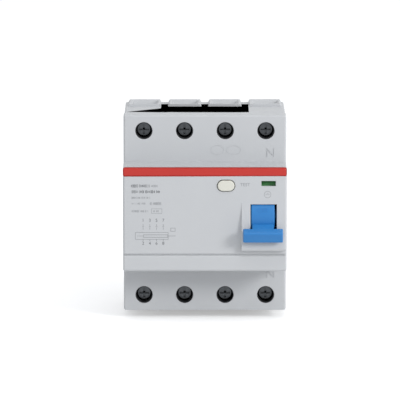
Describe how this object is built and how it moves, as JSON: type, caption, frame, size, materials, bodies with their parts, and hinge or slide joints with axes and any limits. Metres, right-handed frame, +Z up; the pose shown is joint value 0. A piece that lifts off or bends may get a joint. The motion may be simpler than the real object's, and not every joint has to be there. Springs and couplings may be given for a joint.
{
  "type": "residual current device",
  "caption": "Modular residual current device for a 35 mm rail: grey housing with a raised middle, side toggle, test button, indicator window and screw terminals.",
  "frame": {"origin": "centre of the rear seat that rests on the rail's face, on the rail's centre line", "axes": "+X across the poles to the right seen from the front, +Y backwards into the rail, +Z up along the rail's height; the front faces -Y"},
  "size_m": [0.07, 0.0753, 0.0897],
  "materials": {
    "housing": "fine moulded texture, light grey",
    "strip_red": "moulded, red",
    "toggle_blue": "moulded, blue",
    "button_cream": "moulded, cream",
    "flag_green": "moulded, green and red zones",
    "clip_plastic": "moulded, dark grey",
    "zinc_steel": "zinc plated",
    "screw_steel": "zinc plated, dull",
    "spring_steel": "spring wire",
    "copper": "copper",
    "black_plastic": "moulded, black",
    "core_metal": "wound soft-magnetic strip",
    "relay_plastic": "moulded, white",
    "trip_plastic": "moulded, yellow",
    "fibre": "vulcanised fibre",
    "bronze": "spring bronze",
    "resistor": "coated ceramic"
  },
  "bodies": {
    "root": {"base_housing": "housing", "front_cover": "housing", "accent_strip": "strip_red", "cover_bolts": "zinc_steel", "toggle_pin": "zinc_steel", "toggle_spring": "spring_steel", "frame_plate_left": "zinc_steel", "frame_plate_right": "zinc_steel", "arc_splitters": "zinc_steel", "arc_cheeks": "fibre", "sensor_core": "core_metal", "sensor_case": "black_plastic", "sensor_winding": "copper", "relay_case": "relay_plastic", "trip_pin": "zinc_steel", "test_leaf": "bronze", "test_resistor": "resistor", "fixed_contact_1": "copper", "fixed_contact_2": "copper", "fixed_contact_3": "copper", "fixed_contact_4": "copper", "load_bar_1": "copper", "load_bar_2": "copper", "load_bar_3": "copper", "load_bar_4": "copper", "load_cable_1": "copper", "load_cable_2": "copper", "load_cable_3": "copper", "load_cable_4": "copper"},
    "toggle": {"toggle_lever": "toggle_blue", "crank_pin": "zinc_steel"},
    "link": {"crank_link": "zinc_steel"},
    "carrier": {"contact_carrier": "black_plastic", "contact_springs": "spring_steel", "moving_contact_1": "copper", "moving_contact_2": "copper", "moving_contact_3": "copper", "moving_contact_4": "copper"},
    "indicator": {"indicator_flag": "flag_green"},
    "plunger": {"relay_plunger": "zinc_steel"},
    "trip": {"trip_lever": "trip_plastic"},
    "button": {"test_button": "button_cream"},
    "clip_left": {"rail_clip_left": "clip_plastic"},
    "clip_right": {"rail_clip_right": "clip_plastic"},
    "line_screw_1": {"line_screw_1": "screw_steel"},
    "line_cage_1": {"line_cage_1": "zinc_steel"},
    "line_screw_2": {"line_screw_2": "screw_steel"},
    "line_cage_2": {"line_cage_2": "zinc_steel"},
    "line_screw_3": {"line_screw_3": "screw_steel"},
    "line_cage_3": {"line_cage_3": "zinc_steel"},
    "line_screw_4": {"line_screw_4": "screw_steel"},
    "line_cage_4": {"line_cage_4": "zinc_steel"},
    "load_screw_1": {"load_screw_1": "screw_steel"},
    "load_cage_1": {"load_cage_1": "zinc_steel"},
    "load_screw_2": {"load_screw_2": "screw_steel"},
    "load_cage_2": {"load_cage_2": "zinc_steel"},
    "load_screw_3": {"load_screw_3": "screw_steel"},
    "load_cage_3": {"load_cage_3": "zinc_steel"},
    "load_screw_4": {"load_screw_4": "screw_steel"},
    "load_cage_4": {"load_cage_4": "zinc_steel"}
  },
  "joints": [
    {"name": "toggle_turn", "type": "hinge", "parent": "root", "child": "toggle", "pos_m": [0.0248, -0.0535, 0.0007], "axis": [-1, 0, 0], "range_deg": [0, 47], "stiffness_Nm_per_rad": 0.02, "springref_deg": -17.19},
    {"name": "link_turn", "type": "hinge", "parent": "toggle", "child": "link", "pos_m": [0.0248, -0.04976, 0.00261], "axis": [1, 0, 0], "range_deg": [0, 47]},
    {"name": "carrier_turn", "type": "hinge", "parent": "root", "child": "carrier", "pos_m": [0, -0.02, 0.004], "axis": [1, 0, 0], "range_deg": [0, 18]},
    {"name": "indicator_turn", "type": "hinge", "parent": "root", "child": "indicator", "pos_m": [0.0248, -0.0455, 0.0102], "axis": [-1, 0, 0], "range_deg": [0, 13]},
    {"name": "plunger_slide", "type": "slide", "parent": "root", "child": "plunger", "axis": [0, -1, 0], "range_m": [0, 0.0015], "stiffness_N_per_m": 300},
    {"name": "trip_turn", "type": "hinge", "parent": "root", "child": "trip", "pos_m": [0.0248, -0.0382, -0.008], "axis": [-1, 0, 0], "range_deg": [0, 9.4]},
    {"name": "button_slide", "type": "slide", "parent": "root", "child": "button", "axis": [0, 1, 0], "range_m": [0, 0.0015], "stiffness_N_per_m": 600},
    {"name": "clip_left_slide", "type": "slide", "parent": "root", "child": "clip_left", "axis": [0, 0, -1], "range_m": [0, 0.003], "stiffness_N_per_m": 1500},
    {"name": "clip_right_slide", "type": "slide", "parent": "root", "child": "clip_right", "axis": [0, 0, -1], "range_m": [0, 0.003], "stiffness_N_per_m": 1500},
    {"name": "line_screw_1_turn", "type": "hinge", "parent": "root", "child": "line_screw_1", "pos_m": [-0.02625, -0.03, 0.03575], "axis": [0, 1, 0], "range_deg": [0, 1980]},
    {"name": "line_cage_1_slide", "type": "slide", "parent": "root", "child": "line_cage_1", "axis": [0, -1, 0], "range_m": [0, 0.0044]},
    {"name": "line_screw_2_turn", "type": "hinge", "parent": "root", "child": "line_screw_2", "pos_m": [-0.00875, -0.03, 0.03575], "axis": [0, 1, 0], "range_deg": [0, 1980]},
    {"name": "line_cage_2_slide", "type": "slide", "parent": "root", "child": "line_cage_2", "axis": [0, -1, 0], "range_m": [0, 0.0044]},
    {"name": "line_screw_3_turn", "type": "hinge", "parent": "root", "child": "line_screw_3", "pos_m": [0.00875, -0.03, 0.03575], "axis": [0, 1, 0], "range_deg": [0, 1980]},
    {"name": "line_cage_3_slide", "type": "slide", "parent": "root", "child": "line_cage_3", "axis": [0, -1, 0], "range_m": [0, 0.0044]},
    {"name": "line_screw_4_turn", "type": "hinge", "parent": "root", "child": "line_screw_4", "pos_m": [0.02625, -0.03, 0.03575], "axis": [0, 1, 0], "range_deg": [0, 1980]},
    {"name": "line_cage_4_slide", "type": "slide", "parent": "root", "child": "line_cage_4", "axis": [0, -1, 0], "range_m": [0, 0.0044]},
    {"name": "load_screw_1_turn", "type": "hinge", "parent": "root", "child": "load_screw_1", "pos_m": [-0.02625, -0.03, -0.03575], "axis": [0, 1, 0], "range_deg": [0, 1980]},
    {"name": "load_cage_1_slide", "type": "slide", "parent": "root", "child": "load_cage_1", "axis": [0, -1, 0], "range_m": [0, 0.0044]},
    {"name": "load_screw_2_turn", "type": "hinge", "parent": "root", "child": "load_screw_2", "pos_m": [-0.00875, -0.03, -0.03575], "axis": [0, 1, 0], "range_deg": [0, 1980]},
    {"name": "load_cage_2_slide", "type": "slide", "parent": "root", "child": "load_cage_2", "axis": [0, -1, 0], "range_m": [0, 0.0044]},
    {"name": "load_screw_3_turn", "type": "hinge", "parent": "root", "child": "load_screw_3", "pos_m": [0.00875, -0.03, -0.03575], "axis": [0, 1, 0], "range_deg": [0, 1980]},
    {"name": "load_cage_3_slide", "type": "slide", "parent": "root", "child": "load_cage_3", "axis": [0, -1, 0], "range_m": [0, 0.0044]},
    {"name": "load_screw_4_turn", "type": "hinge", "parent": "root", "child": "load_screw_4", "pos_m": [0.02625, -0.03, -0.03575], "axis": [0, 1, 0], "range_deg": [0, 1980]},
    {"name": "load_cage_4_slide", "type": "slide", "parent": "root", "child": "load_cage_4", "axis": [0, -1, 0], "range_m": [0, 0.0044]}
  ],
  "couplings": [
    {"joint": "link_turn", "follows": "toggle_turn", "ratio": 1},
    {"joint": "carrier_turn", "follows": "toggle_turn", "ratio": 0.38297},
    {"joint": "indicator_turn", "follows": "toggle_turn", "ratio": 0.27659},
    {"joint": "trip_turn", "follows": "plunger_slide", "rad_per_m": 109.36},
    {"joint": "line_screw_1_turn", "follows": "line_cage_1_slide", "rad_per_m": 7854},
    {"joint": "line_screw_2_turn", "follows": "line_cage_2_slide", "rad_per_m": 7854},
    {"joint": "line_screw_3_turn", "follows": "line_cage_3_slide", "rad_per_m": 7854},
    {"joint": "line_screw_4_turn", "follows": "line_cage_4_slide", "rad_per_m": 7854},
    {"joint": "load_screw_1_turn", "follows": "load_cage_1_slide", "rad_per_m": 7854},
    {"joint": "load_screw_2_turn", "follows": "load_cage_2_slide", "rad_per_m": 7854},
    {"joint": "load_screw_3_turn", "follows": "load_cage_3_slide", "rad_per_m": 7854},
    {"joint": "load_screw_4_turn", "follows": "load_cage_4_slide", "rad_per_m": 7854}
  ]
}
